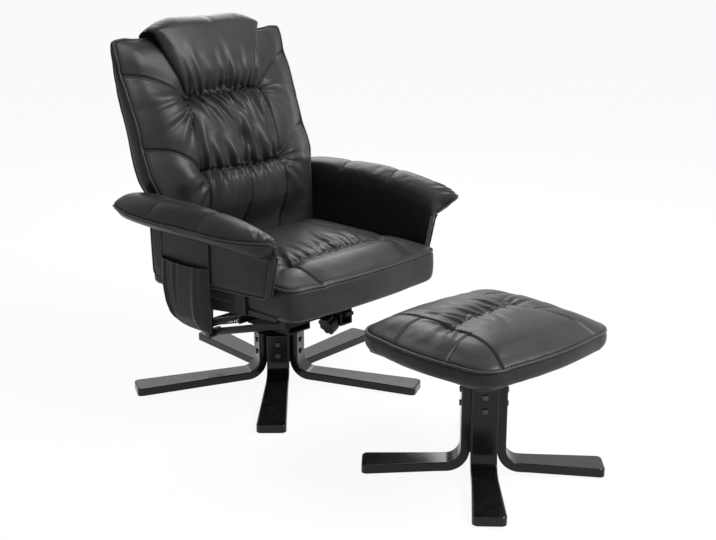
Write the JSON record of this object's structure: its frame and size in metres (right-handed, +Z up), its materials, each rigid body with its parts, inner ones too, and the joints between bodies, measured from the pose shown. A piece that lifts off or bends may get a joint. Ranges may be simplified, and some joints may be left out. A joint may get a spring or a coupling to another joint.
{
  "type": "recliner with footstool",
  "caption": "Padded swivel recliner with winged arms, side pocket, bentwood star base and knob-locked reclining back, with a matching cushioned footstool.",
  "frame": {"origin": "on the floor, under the chair's swivel axis", "axes": "+Z up; -Y the way the chair faces; +X towards the sitter's left hand"},
  "size_m": [0.8198, 1.481, 1.0262],
  "materials": {
    "black_leather": "soft sheen",
    "black_lacquer": "gloss lacquer",
    "plywood": "black stain",
    "felt": "matte",
    "black_plastic": "satin",
    "bright_steel": "zinc plated",
    "black_steel": "powder coat"
  },
  "bodies": {
    "base": {"chair_hub": "black_steel", "chair_leg_1": "black_lacquer", "chair_leg_2": "black_lacquer", "chair_leg_3": "black_lacquer", "chair_leg_4": "black_lacquer", "chair_leg_5": "black_lacquer", "chair_leg_bolts": "bright_steel", "chair_foot_glides": "felt", "swivel_bush": "black_plastic", "stool_post": "black_steel", "stool_leg_1": "black_lacquer", "stool_leg_2": "black_lacquer", "stool_leg_3": "black_lacquer", "stool_leg_4": "black_lacquer", "stool_leg_bolts": "bright_steel", "stool_foot_glides": "felt", "stool_top_plate": "black_steel", "stool_screws": "bright_steel", "stool_board": "plywood", "stool_cushion": "black_leather"},
    "seat": {"swivel_spindle": "bright_steel", "spindle_circlip": "bright_steel", "thrust_washer": "black_plastic", "mechanism_housing": "black_steel", "seat_plate": "black_steel", "seat_screws": "bright_steel", "seat_board": "plywood", "seat_cushion": "black_leather", "right_hinge_bracket": "black_steel", "left_hinge_bracket": "black_steel", "hinge_screws": "bright_steel", "recline_axle": "bright_steel", "axle_nuts": "bright_steel", "lock_bracket": "black_steel", "recline_springs": "bright_steel", "right_arm_panel": "black_leather", "left_arm_panel": "black_leather", "right_arm_wing": "black_leather", "left_arm_wing": "black_leather", "right_arm_brackets": "black_steel", "left_arm_brackets": "black_steel", "arm_bolts": "bright_steel", "arm_bracket_screws": "bright_steel", "side_pocket": "black_leather"},
    "backrest": {"right_crank_plate": "black_steel", "left_crank_plate": "black_steel", "crank_screws": "bright_steel", "crank_bolts": "bright_steel", "spring_crossbar": "black_steel", "back_rail": "plywood", "back_board": "plywood", "back_cover": "black_leather", "back_cushion": "black_leather", "head_pillow": "black_leather"},
    "yoke": {"recline_yoke": "black_steel"},
    "knob": {"lock_knob": "black_plastic", "lock_screw": "bright_steel"}
  },
  "joints": [
    {"name": "swivel", "type": "hinge", "parent": "base", "child": "seat", "pos_m": [0, 0, 0.15], "axis": [0, 0, 1], "continuous": true},
    {"name": "recline", "type": "hinge", "parent": "seat", "child": "backrest", "pos_m": [0, 0.175, 0.285], "axis": [-1, 0, 0], "range_deg": [0, 25], "deforming": ["recline_springs"]},
    {"name": "yoke_pivot", "type": "hinge", "parent": "backrest", "child": "yoke", "pos_m": [0, 0.181, 0.117], "axis": [-1, 0, 0], "range_deg": [-24, 0]},
    {"name": "lock_turn", "type": "hinge", "parent": "seat", "child": "knob", "pos_m": [-0.01572, -0.25, 0.24586], "axis": [-0.9063, 0, -0.4226], "range_deg": [0, 720]}
  ],
  "couplings": [
    {"joint": "yoke_pivot", "follows": "recline", "ratio": -0.936}
  ]
}
